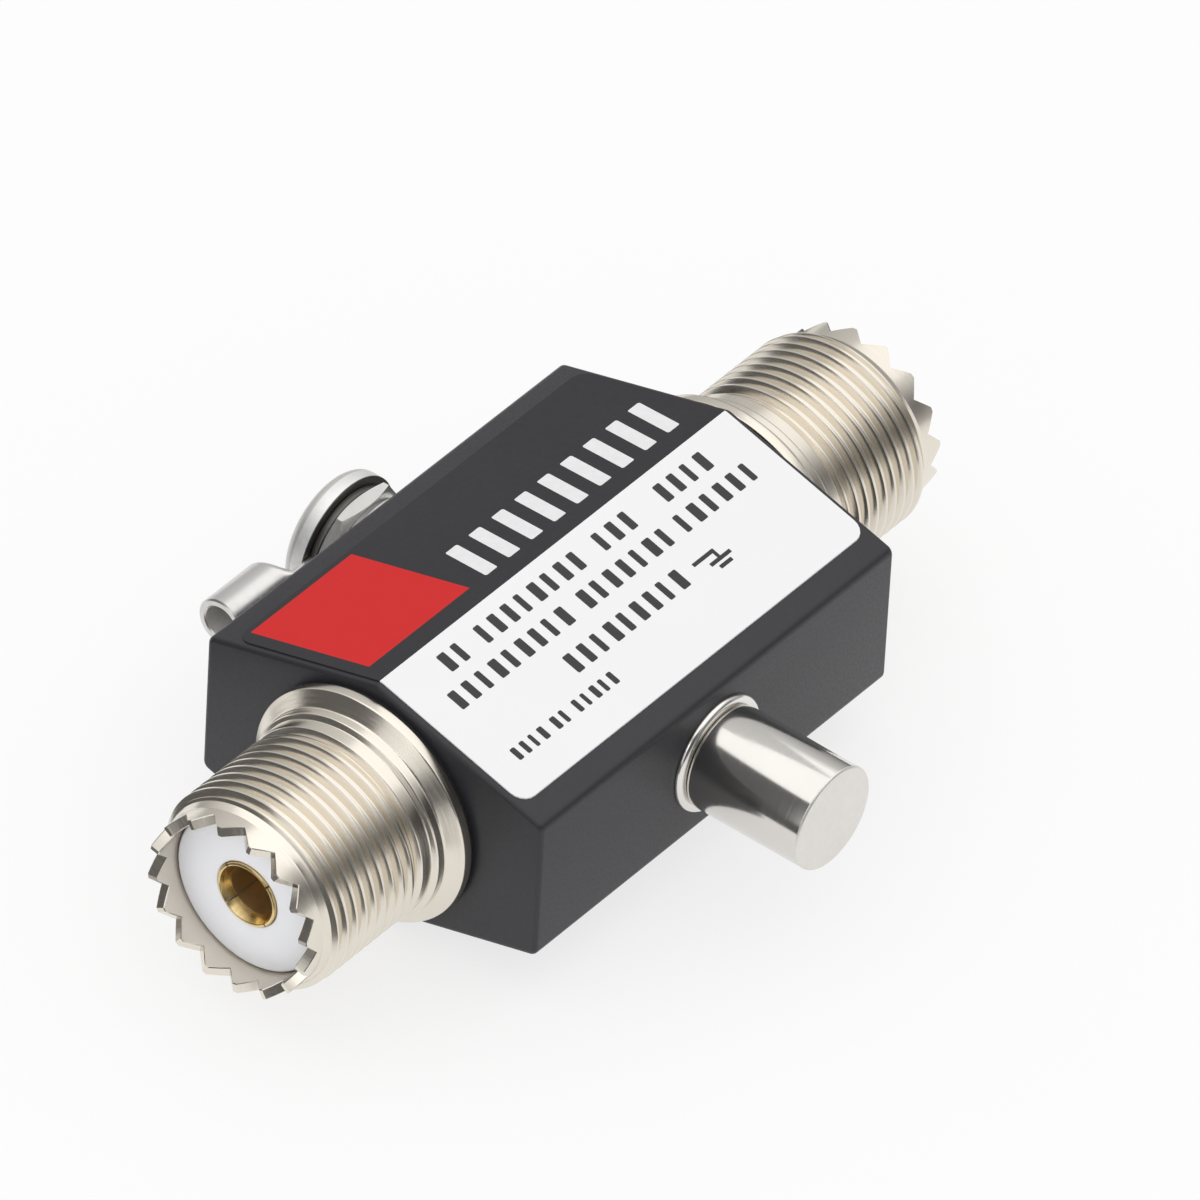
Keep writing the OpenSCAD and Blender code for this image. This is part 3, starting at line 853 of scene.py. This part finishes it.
def make_shell(port, side):
    """A threaded shell: spigot, flange, collar, thread and a rim of pointed teeth."""
    angles = tooth_angles()
    flange_r = SHELL[1].y
    reach = SHELL[1].x - BLOCK.x
    back = SHELL[0].x - BLOCK.x
    collar_s = FLANGE_S + FLANGE_T
    undercut_s = collar_s + COLLAR_T
    pitch = (THREAD_L - UNDERCUT_L) / (THREAD_TURNS + 1)
    thread_s = undercut_s + UNDERCUT_L + pitch
    cone_s = undercut_s + THREAD_L
    rim_s = cone_s + CONE_L
    notch_s = reach - TOOTH_H
    foot_s = notch_s - 2 * TIP_BEVEL
    root = THREAD_R - THREAD_DEPTH
    band_r = THREAD_R - BAND_DROP
    rows = turned_rows(angles, [
        (LINE_BORE_R, back, 0),
        (SPIGOT_R, back, SOFT_R),
        (SPIGOT_R, FLANGE_S, 0),
        (flange_r, FLANGE_S, SMALL_R),
        (flange_r, collar_s - FLANGE_CONE_BACK, EASED_R),
        (COLLAR_R, collar_s + FLANGE_CONE_FRONT, WIDE_R),
        (COLLAR_R, undercut_s, SOFT_R),
        (band_r, undercut_s + BAND_LEAD, SMALL_R),
        (band_r, thread_s - BAND_FALL, FINE_R),
        (root, thread_s, 0),
    ])
    rows += thread_rows(angles, root, THREAD_R, thread_s, cone_s, THREAD_TURNS)
    rows += turned_rows(angles, [
        (root, cone_s, 0),
        (RIM_R, rim_s, WIDE_R),
        (RIM_R, foot_s, 0),
    ])
    tips = notch_s + tooth_rise(angles)
    rim = [(RIM_R, TIP_BEVEL), (RIM_R - TIP_BEVEL, 0)]
    rim += [(SHELL_BORE_R + TIP_BEVEL, 0), (SHELL_BORE_R, TIP_BEVEL)]
    for radius, drop in rim:
        rows.append(circle_row(angles, radius, tips - drop))
    rows += turned_rows(angles, [
        (SHELL_BORE_R, foot_s, 0),
        (SHELL_BORE_R, back + LIP_T, 0),
        (LINE_BORE_R, back + LIP_T, 0),
        (LINE_BORE_R, back, 0),
    ])
    turn = Matrix.Rotation(TOOTH_TURN[port], 4, "Z")
    mesh = make_mesh("shell", [skin(rows)], port_place(side) @ turn)
    add_piece(f"threaded_shell_{port}", mesh, [nickel], "housing", [f"port_{port}_shell"])


def make_insulator(port, side):
    """The white plug that carries the socket."""
    socket_r = CONTACT[1].y + SPIGOT_GAP
    face = INSULATOR[1].x - BLOCK.x
    back = INSULATOR[0].x - BLOCK.x
    socket_end = CONTACT[1].x - BLOCK.x - SOCKET_DEPTH - SOCKET_END_T
    stem_r = STEM_R + SPIGOT_GAP
    rows = turned_rows(even_angles(INSULATOR_COLUMNS), [
        (socket_r, face, LIP_R),
        (INSULATOR[1].y, face, EASED_R),
        (INSULATOR[1].y, back, 0),
        (stem_r, back, 0),
        (stem_r, socket_end, 0),
        (socket_r, socket_end, 0),
    ], True)
    mesh = make_mesh("insulator", [skin(rows)], port_place(side))
    node = f"port_{port}_insulator"
    add_piece(f"insulator_plug_{port}", mesh, [insulator_white], "housing", [node])


def make_contact(port, side):
    """The gold socket: a solid foot and stem, with four spring leaves between slits."""
    socket_r = CONTACT[1].y
    mouth = CONTACT[1].x - BLOCK.x
    stem_tip = CONTACT[0].x - BLOCK.x
    floor = mouth - SOCKET_DEPTH
    foot = floor - SOCKET_END_T
    leaf_s = mouth - SLIT_L
    base = turned_rows(even_angles(SOCKET_COLUMNS), [
        (0, stem_tip, 0),
        (STEM_R, stem_tip, EASED_R),
        (STEM_R, foot, 0),
        (socket_r, foot, SOFT_R),
        (socket_r, leaf_s, 0),
        (SOCKET_BORE_R, leaf_s, 0),
        (SOCKET_BORE_R, floor, WIDE_R),
        (0, floor, 0),
    ])
    leaf = rounded([
        (SOCKET_BORE_R, leaf_s, 0),
        (socket_r, leaf_s, 0),
        (socket_r, mouth, LIP_R),
        (SOCKET_BORE_R + SOCKET_SINK_W, mouth, SOCKET_SINK_R),
        (SOCKET_BORE_R, mouth - SOCKET_SINK_L, WIDE_R),
    ], True)
    half_slit = math.asin(SLIT_W / 2 / ((socket_r + SOCKET_BORE_R) / 2))
    share = 2 * math.pi / SOCKET_LEAVES
    surfaces = [skin(base)]
    for turn in range(SOCKET_LEAVES):
        start = SLIT_TURN + share * turn
        surfaces.append(sector(leaf, start + half_slit, start + share - half_slit, LEAF_COLUMNS))
    mesh = make_mesh("contact", surfaces, port_place(side))
    # Faces inside the socket's bore take the lighter gold, painted light
    for face in mesh.polygons:
        in_bore = face.center.yz.length < SOCKET_BORE_R * BORE_REACH * MM
        if in_bore and face.center.x * side > (BLOCK.x + foot) * MM:
            face.material_index = 1
    node = f"port_{port}_contact"
    add_piece(f"socket_contact_{port}", mesh, [gold, gold_bore_painted_light], "housing", [node])


for port_name, port_side in (("a", -1), ("b", 1)):
    make_shell(port_name, port_side)
    make_insulator(port_name, port_side)
    make_contact(port_name, port_side)


# The gas tube cap, whose end has a satin finish that reaches over a share of its edge; the end's lighter
# colour is a painted highlight
CAP_END_SHARE = 0.9


def make_cap():
    """The cap: a hollow threaded neck, a plain round head and a satin end face, painted lighter as a painted
    highlight.
    """
    angles = even_angles(TURN_COLUMNS)
    head_r = CAP[1].x
    end = -CAP[0].y
    neck_end = -CAP[1].y
    root = CAP_NECK_R - CAP_THREAD_DEPTH
    thread_s = neck_end + CAP_THREAD_LEAD
    rows = turned_rows(angles, [
        (0, CAP_BORE_END, 0),
        (CAP_BORE_R, CAP_BORE_END, WIDE_R),
        (CAP_BORE_R, neck_end, FINE_R),
        (root, neck_end, FINE_R),
        (root, thread_s, 0),
    ])
    rows += thread_rows(angles, root, CAP_NECK_R, thread_s, CAP_THREAD_END, CAP_THREAD_TURNS)
    rows += turned_rows(angles, [
        (root, CAP_THREAD_END, 0),
        (root, CAP_SEAT, FINE_R),
        (head_r, CAP_SEAT, CAP_BASE_R),
        (head_r, end, CAP_EDGE_R),
        (0, end, 0),
    ])
    mesh = make_mesh("cap", [skin(rows)], CAP_PLACE)
    # The end face and part of its edge take the lighter nickel, a painted highlight
    for face in mesh.polygons:
        if face.center.y < (CAP[0].y + CAP_EDGE_R * CAP_END_SHARE) * MM:
            face.material_index = 1
    plates = [cap_nickel, cap_end_nickel_painted_highlight]
    add_piece("gas_tube_screw_cap", mesh, plates, "cap", ["gas_tube_cap"])


def make_ring(name, place, outer_r, inner_r, low, high, fillets, material, body, node):
    """A flat zinc-plated ring with eased edges. Fillets are those of the outer edge's back and front."""
    back, front = fillets
    rows = turned_rows(even_angles(TURN_COLUMNS), [
        (inner_r, low, back / 2),
        (outer_r, low, back),
        (outer_r, high, front),
        (inner_r, high, back / 2),
    ], True)
    add_piece(name, make_mesh(name, [skin(rows)], place), [material], body, [node])


make_cap()
make_ring(
    "cap_seal_washer", CAP_PLACE, CAP_WASHER[1].x, CAP_NECK_R + CAP_WASHER_GAP, -CAP_WASHER[1].y, CAP_SEAT,
    (THIN_R, CAP_WASHER_BEVEL), zinc_smooth, "tube_carrier", "cap_washer",
)


# The ground terminal
DOME_STEPS = 12
# The recess narrows to this share of its mouth at its foot, and its cutter widens above the mouth
RECESS_TAPER = 0.72
RECESS_OVER = 0.6
NUT_CHAMFER_SLOPE = 0.5
FLARE_STEPS = 8
# Powers of the curve round a section of the lug
FLAT_POWER = 8
ROUND_POWER = 2

make_ring(
    "flat_washer", GROUND_PLACE, FLAT_WASHER[1].x, WASHER_BORE_R, FLAT_WASHER[0].y, FLAT_WASHER[1].y,
    (SMALL_R, SMALL_R), zinc, "housing", "ground_flat_washer",
)


def make_lock_washer():
    """A split ring, pressed flat."""
    outer_r = LOCK_WASHER[1].z
    low = LOCK_WASHER[0].y
    high = LOCK_WASHER[1].y
    profile = rounded([
        (WASHER_BORE_R, low, FINE_R),
        (outer_r, low, SMALL_R),
        (outer_r, high, SMALL_R),
        (WASHER_BORE_R, high, FINE_R),
    ], True)
    half_slit = math.asin(LOCK_SLIT_W / (outer_r + WASHER_BORE_R))
    ring = sector(profile, half_slit, 2 * math.pi - half_slit, LOCK_COLUMNS)
    mesh = make_mesh("lock_washer", [ring], GROUND_PLACE)
    add_piece("split_washer", mesh, [steel], "ground_carrier", ["ground_lock_washer"])


def make_nut():
    """A thin hexagon nut with both faces chamfered."""
    angles = even_angles(TURN_COLUMNS)
    flat_r = NUT[1].z
    sixth = math.pi / 3
    hexagon = flat_r / np.cos(angles % sixth - sixth / 2)
    face_r = flat_r - NUT_FACE_INSET
    drop = (hexagon - face_r) * NUT_CHAMFER_SLOPE
    low = NUT[0].y
    high = NUT[1].y
    rows = [
        circle_row(angles, NUT_BORE_R, low),
        circle_row(angles, face_r, low),
        circle_row(angles, hexagon, low + drop),
        circle_row(angles, hexagon, high - drop),
        circle_row(angles, face_r, high),
        circle_row(angles, NUT_BORE_R, high),
        circle_row(angles, NUT_BORE_R, low),
    ]
    mesh = make_mesh("nut", [skin(rows)], GROUND_PLACE)
    add_piece("hex_nut", mesh, [zinc], "screw", ["ground_nut"])


def recess_cutter(length, width, top):
    """One arm of the cross recess, tapered towards its foot."""
    half_l = length * RECESS_TAPER / 2
    half_w = width * RECESS_TAPER / 2
    foot = [(half_l, half_w), (-half_l, half_w), (-half_l, -half_w), (half_l, -half_w)]
    points = [(u, v, top - RECESS_DEPTH) for u, v in foot]
    points += [(u / RECESS_TAPER, v / RECESS_TAPER, top) for u, v in foot]
    points += [(u / RECESS_OVER, v / RECESS_OVER, top + RECESS_DEPTH / 2) for u, v in foot]
    faces = [(0, 1, 2, 3), (8, 9, 10, 11)]
    for base in (0, 4):
        faces += [(base + i, base + (i + 1) % 4, base + (i + 1) % 4 + 4, base + i + 4) for i in range(4)]
    return make_mesh("recess", [(points, faces)], GROUND_PLACE)


def make_screw():
    """A threaded screw with a domed head and a cross recess."""
    angles = even_angles(SCREW_COLUMNS)
    head_r = SCREW[1].x
    tip = SCREW[0].y
    head_seat = NUT[1].y + LUG_T
    dome_seat = head_seat + HEAD_RIM_T
    top = SCREW[1].y
    root = SCREW_R - SCREW_THREAD_DEPTH
    thread_s = tip + SCREW_TIP_BEVEL
    thread_end = NUT[1].y - SCREW_RUNOUT
    rows = turned_rows(angles, [
        (0, tip, 0),
        (SCREW_R - SCREW_TIP_BEVEL, tip, FINE_R),
        (root, tip + SCREW_TIP_BEVEL / 2, 0),
        (root, thread_s, 0),
    ])
    rows += thread_rows(angles, root, SCREW_R, thread_s, thread_end, SCREW_THREAD_TURNS)
    rows += turned_rows(angles, [
        (root, thread_end, 0),
        (root, head_seat, FINE_R),
        (head_r, head_seat, HEAD_BASE_R),
        (head_r, dome_seat, 0),
    ])
    reach = head_r - HEAD_TOP_R
    for angle in quarter_turn(DOME_STEPS)[1:]:
        height = dome_seat + (top - dome_seat) * math.sin(angle)
        rows.append(circle_row(angles, HEAD_TOP_R + reach * math.cos(angle), height))
    rows.append(circle_row(angles, 0, top))
    mesh = make_mesh("screw", [skin(rows)], GROUND_PLACE)
    arms = ((RECESS_L, RECESS_W), (RECESS_W, RECESS_L))
    mesh = cut_mesh(mesh, [recess_cutter(length, width, top) for length, width in arms])
    # The head's underside and shank take the zinc's painted shade, its rim a painted highlight and its dome
    # a painted shade
    for face in mesh.polygons:
        height = face.center.y / MM
        if height > dome_seat:
            face.material_index = 2
        elif height > head_seat + HEAD_BASE_R:
            face.material_index = 1
    plates = [zinc_painted_shade, zinc_rim_painted_highlight, zinc_dome_painted_shade]
    add_piece("ground_head_screw", mesh, plates, "screw", ["ground_screw"])


def lug_section(x, half_w, half_t, middle, power):
    """A section across the lug at one place, from flat to round by its power."""
    around = even_angles(LUG_COLUMNS)
    cos = np.cos(around)
    sin = np.sin(around)
    y = half_w * np.sign(cos) * np.abs(cos) ** (2 / power)
    z = middle + half_t * np.sign(sin) * np.abs(sin) ** (2 / power)
    return np.stack([x * np.ones_like(around), y, z], 1)


def make_lug():
    """A ring lug of flat sheet whose tongue flares into a hollow crimp barrel."""
    low = NUT[1].y
    middle = low + LUG_T / 2
    axis = middle + BARREL_RISE
    tip = -LUG[0].x
    barrel_x = tip - BARREL_L
    flare_x = barrel_x - FLARE_L
    ring = skin(turned_rows(even_angles(TURN_COLUMNS), [
        (WASHER_BORE_R, low, THIN_R),
        (LUG_RING_R, low, SMALL_R),
        (LUG_RING_R, low + LUG_T, SMALL_R),
        (WASHER_BORE_R, low + LUG_T, THIN_R),
    ], True))
    flat_half = LUG_T / 2 - TONGUE_INSET
    tongue_x = -WASHER_BORE_R - TONGUE_START
    rows = [
        lug_section(tongue_x, 0, 0, middle, FLAT_POWER),
        lug_section(tongue_x, TONGUE_HALF_W, flat_half, middle, FLAT_POWER),
        lug_section(-flare_x, TONGUE_HALF_W, flat_half, middle, FLAT_POWER),
    ]
    for step in range(1, FLARE_STEPS + 1):
        share = step / FLARE_STEPS
        ease = eased(share)
        rows.append(lug_section(
            -flare_x - FLARE_L * share,
            TONGUE_HALF_W + (BARREL_R - TONGUE_HALF_W) * ease,
            flat_half + (BARREL_R - flat_half) * ease,
            middle + BARREL_RISE * ease,
            FLAT_POWER - (FLAT_POWER - ROUND_POWER) * math.sqrt(ease),
        ))
    bore_r = BARREL_R - BARREL_WALL
    barrel_rows = [
        (-tip + LIP_R, BARREL_R),
        (-tip, BARREL_R - LIP_R),
        (-tip, bore_r + LIP_R),
        (-tip + LIP_R, bore_r),
        (-barrel_x, bore_r),
        (-barrel_x, 0),
    ]
    for x, radius in barrel_rows:
        rows.append(lug_section(x, radius, radius, axis, ROUND_POWER))
    mesh = make_mesh("lug", [ring, skin(rows)], GROUND_PLACE)
    # The lug's ring takes the zinc's painted shade, standing for the shadow between the screw head and the
    # nut
    for face in mesh.polygons:
        x, y, z = face.center / MM
        if x < -barrel_x and math.hypot(y - axis, z) < bore_r * BORE_REACH:
            face.material_index = 1
        elif face.index < len(ring[1]):
            face.material_index = 2
    add_piece("ring_lug", mesh, [tin, tin_dull, zinc_painted_shade], "lug", ["ground_lug"])


make_lock_washer()
make_nut()
make_screw()
make_lug()


# Nodes that keep their own mesh
kept_nodes = {
    "port_a_gasket": rubber,
    "port_b_gasket": rubber,
    "center_conductor": gold,
    "gas_tube_inner_electrode": nickel,
    "gas_tube_ceramic": ceramic_white,
    "gas_tube_outer_electrode": nickel,
    "contact_spring": steel,
}
for node_name, node_material in kept_nodes.items():
    node_mesh = nodes[node_name].data
    node_mesh.materials.clear()
    node_mesh.materials.append(node_material)


# The stage: floor, screens, lamps and sky, in metres
FLOOR_HALF = 1.2
FLOOR_GLOW = 0.75
FLOOR_DARK = (0.93, 0.93, 0.93)
FLOOR_LIGHT = (0.95, 0.95, 0.95)
FLOOR_ROUGH = 0.9
FLOOR_SPECULAR = 0.1
CARD_NEAR = 0.045
CARD_LIFT = 0.2 * MM
CARD_LEVEL = 0.12
CARD_FADE = 0.9
SCREEN_R = 0.42
SCREEN_STEP = 15
SCREEN_FOOT = -2
SCREEN_RISE = 6
OVERHEAD_SIZE = 1.0
OVERHEAD_Z = 0.5
OVERHEAD_WATTS = 1.0
SIDE_DIRECTION = Vector((-0.82, -0.2, 0.53))
SIDE_DISTANCE = 0.36
SIDE_SIZE = 0.07
SIDE_WATTS = 0.02
SKY_DIFFUSE = 0.82
SKY_SEEN = 1.0
# Cards: name, then the turns about Z that they cover, in degrees
CARDS = [
    ("card_left", 120, 210),
    ("card_right", 10, 36),
]
# Screens: name, turns about Z and top in degrees, then pairs of a share of the height and a grey level
FRONT_LEVELS = ((0, 0.44), (0.2, 0.26), (0.4, 0.16), (0.55, 0.19), (0.75, 0.44), (1, 0.78))
SCREENS = [
    ("screen_left_back", 105, 166, 49, ((0, 0.11), (1, 0.14))),
    ("screen_left", 166, 200, 49, ((0, 0.30), (0.15, 1.0), (0.85, 1.0), (1, 0.4))),
    ("screen_left_front", 200, 255, 49, ((0, 0.09), (1, 0.12))),
    ("screen_front", 255, 330, 40, FRONT_LEVELS),
    ("screen_right", -30, 30, 36, ((0, 0.30), (1, 0.75))),
    ("screen_back", 30, 75, 60, ((0, 0.45), (0.5, 0.60), (0.76, 0.67), (1, 0.74))),
    ("screen_far_back", 75, 105, 46, ((0, 0.32), (1, 0.90))),
]


def stage_mesh(name, points, faces, material):
    """A mesh that belongs to the stage."""
    mesh = bpy.data.meshes.new(name)
    mesh.from_pydata(points, [], faces)
    mesh.materials.append(material)
    made = bpy.data.objects.new(name, mesh)
    scene.collection.objects.link(made)
    return made


def make_floor():
    """A white table just under the block's lower ridge. It glows a little to the camera and in the metal."""
    material, tree, shader = new_material("floor")
    cloud = noise(tree, scale=6, detail=2)
    tree.links.new(mix_colour(tree, cloud, FLOOR_DARK, FLOOR_LIGHT), shader.inputs["Base Color"])
    shader.inputs["Roughness"].default_value = FLOOR_ROUGH
    shader.inputs["Specular IOR Level"].default_value = FLOOR_SPECULAR
    rays = tree.nodes.new("ShaderNodeLightPath").outputs
    seen = calculate(tree, "ADD", rays["Is Camera Ray"], rays["Is Glossy Ray"])
    glow = tree.nodes.new("ShaderNodeEmission")
    mix = tree.nodes.new("ShaderNodeMixShader")
    tree.links.new(calculate(tree, "MULTIPLY", seen, FLOOR_GLOW), mix.inputs[0])
    tree.links.new(shader.outputs[0], mix.inputs[1])
    tree.links.new(glow.outputs[0], mix.inputs[2])
    tree.links.new(mix.outputs[0], tree.nodes["Material Output"].inputs["Surface"])
    z = -ridge_z * MM
    reach = FLOOR_HALF
    points = [(-reach, -reach, z), (reach, -reach, z), (reach, reach, z), (-reach, reach, z)]
    stage_mesh("floor", points, [(0, 1, 2, 3)], material)


def screen_material(name, axis, far, levels):
    """Grey light along an axis. Levels are (share of the distance from the origin, level) pairs."""
    material = bpy.data.materials.new(name)
    material.use_nodes = True
    tree = material.node_tree
    share = tree.nodes.new("ShaderNodeMapRange")
    share.inputs["From Min"].default_value = 0
    share.inputs["From Max"].default_value = far
    tree.links.new(object_axes(tree).outputs[axis], share.inputs["Value"])
    ramp = tree.nodes.new("ShaderNodeValToRGB")
    stops = ramp.color_ramp.elements
    while len(stops) < len(levels):
        stops.new(1)
    for stop, (at, level) in zip(stops, levels):
        stop.position = at
        stop.color = (level, level, level, 1)
    tree.links.new(share.outputs["Result"], ramp.inputs["Fac"])
    glow = tree.nodes.new("ShaderNodeEmission")
    tree.links.new(ramp.outputs["Color"], glow.inputs["Color"])
    tree.links.new(glow.outputs[0], tree.nodes["Material Output"].inputs["Surface"])
    return material


def add_reflector(name, columns, material):
    """A surface through columns of points that shows only in glossy surfaces and casts no shadow."""
    made = stage_mesh(name, *skin(columns), material)
    made.visible_camera = False
    made.visible_diffuse = False
    made.visible_shadow = False
    made.visible_transmission = False


def screen_turns(turn_from, turn_to):
    """Angles about Z of a reflector's columns."""
    return [math.radians(turn) for turn in [*range(turn_from, turn_to, SCREEN_STEP), turn_to]]


def make_card(name, turn_from, turn_to):
    """A grey sheet on the floor, from near the block out to the screens."""
    material = screen_material(name, "X", -SCREEN_R, ((0, CARD_LEVEL), (1, CARD_LEVEL * CARD_FADE)))
    z = CARD_LIFT - ridge_z * MM
    reaches = (CARD_NEAR, SCREEN_R)
    columns = []
    for angle in screen_turns(turn_from, turn_to):
        columns.append([(reach * math.cos(angle), reach * math.sin(angle), z) for reach in reaches])
    add_reflector(name, columns, material)


def make_screen(name, turn_from, turn_to, top, levels):
    """A curved grey screen with a level for each share of its height."""
    material = screen_material(name, "Z", SCREEN_R * math.sin(math.radians(top)), levels)
    rises = [math.radians(height) for height in [SCREEN_FOOT, *range(SCREEN_RISE, top, SCREEN_RISE), top]]
    columns = []
    for angle in screen_turns(turn_from, turn_to):
        column = []
        for rise in rises:
            reach = SCREEN_R * math.cos(rise)
            column.append((reach * math.cos(angle), reach * math.sin(angle), SCREEN_R * math.sin(rise)))
        columns.append(column)
    add_reflector(name, columns, material)


def make_lamp(name, place, size, watts):
    """A square lamp that looks at the origin and stays out of the picture."""
    data = bpy.data.lights.new(name, "AREA")
    data.size = size
    data.energy = watts
    lamp = bpy.data.objects.new(name, data)
    lamp.location = place
    lamp.rotation_euler = place.to_track_quat("Z", "Y").to_euler()
    lamp.visible_camera = False
    scene.collection.objects.link(lamp)


def make_sky():
    """An even sky: white to the camera and in the metal, softer for diffuse light."""
    world = bpy.data.worlds.new("sky")
    world.use_nodes = True
    tree = world.node_tree
    background = tree.nodes["Background"]
    background.inputs["Color"].default_value = (1, 1, 1, 1)
    rays = tree.nodes.new("ShaderNodeLightPath").outputs
    seen = calculate(tree, "ADD", rays["Is Camera Ray"], rays["Is Glossy Ray"])
    seen = calculate(tree, "ADD", seen, rays["Is Transmission Ray"], clamp=True)
    level = tree.nodes.new("ShaderNodeMapRange")
    level.inputs["To Min"].default_value = SKY_DIFFUSE
    level.inputs["To Max"].default_value = SKY_SEEN
    tree.links.new(seen, level.inputs["Value"])
    tree.links.new(level.outputs["Result"], background.inputs["Strength"])
    scene.world = world


make_floor()
for card in CARDS:
    make_card(*card)
for screen in SCREENS:
    make_screen(*screen)
make_lamp("overhead", Vector((0, 0, OVERHEAD_Z)), OVERHEAD_SIZE, OVERHEAD_WATTS)
make_lamp("side", SIDE_DIRECTION.normalized() * SIDE_DISTANCE, SIDE_SIZE, SIDE_WATTS)
make_sky()
